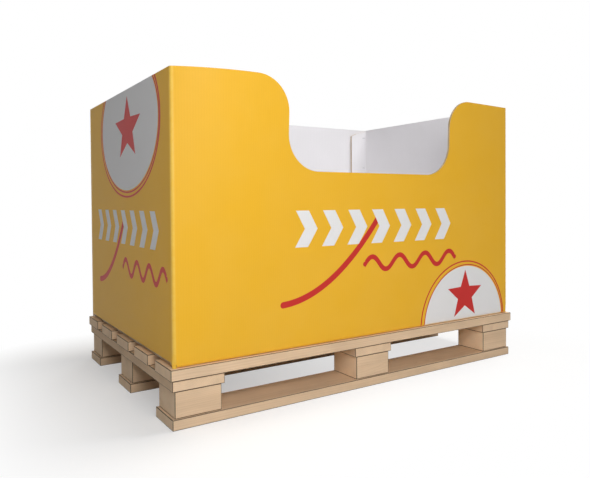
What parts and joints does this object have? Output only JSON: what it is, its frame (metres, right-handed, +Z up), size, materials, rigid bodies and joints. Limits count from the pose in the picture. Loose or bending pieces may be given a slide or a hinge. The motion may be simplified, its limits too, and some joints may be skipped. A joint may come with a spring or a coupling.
{
  "type": "cardboard display stand",
  "caption": "Open-topped printed corrugated display bin with a rounded cut-out in its front, standing on a wooden pallet.",
  "frame": {"origin": "on the floor under the middle of the pallet, on the underside of the middle skid board", "axes": "+Z up, +X along the front from its left to its right, +Y from the cut-out front to the back"},
  "size_m": [1.2, 0.833, 0.844],
  "materials": {
    "printed_board": "printed paper outside in golden yellow, plain white inside",
    "stitch_wire": "galvanised flat wire",
    "pallet_wood": "sawn pale softwood",
    "nail_steel": "plain wire nail"
  },
  "bodies": {
    "root": {"printed_carton": "printed_board", "joint_stitches": "stitch_wire", "deck_board_1": "pallet_wood", "deck_board_2": "pallet_wood", "deck_board_3": "pallet_wood", "deck_board_4": "pallet_wood", "deck_board_5": "pallet_wood", "cross_board_left": "pallet_wood", "cross_board_middle": "pallet_wood", "cross_board_right": "pallet_wood", "block_front_left": "pallet_wood", "block_front_middle": "pallet_wood", "block_front_right": "pallet_wood", "block_middle_left": "pallet_wood", "block_middle_middle": "pallet_wood", "block_middle_right": "pallet_wood", "block_back_left": "pallet_wood", "block_back_middle": "pallet_wood", "block_back_right": "pallet_wood", "bottom_board_front": "pallet_wood", "bottom_board_middle": "pallet_wood", "bottom_board_back": "pallet_wood", "long_nails": "nail_steel", "short_nails": "nail_steel", "bottom_nails": "nail_steel"}
  },
  "joints": []
}
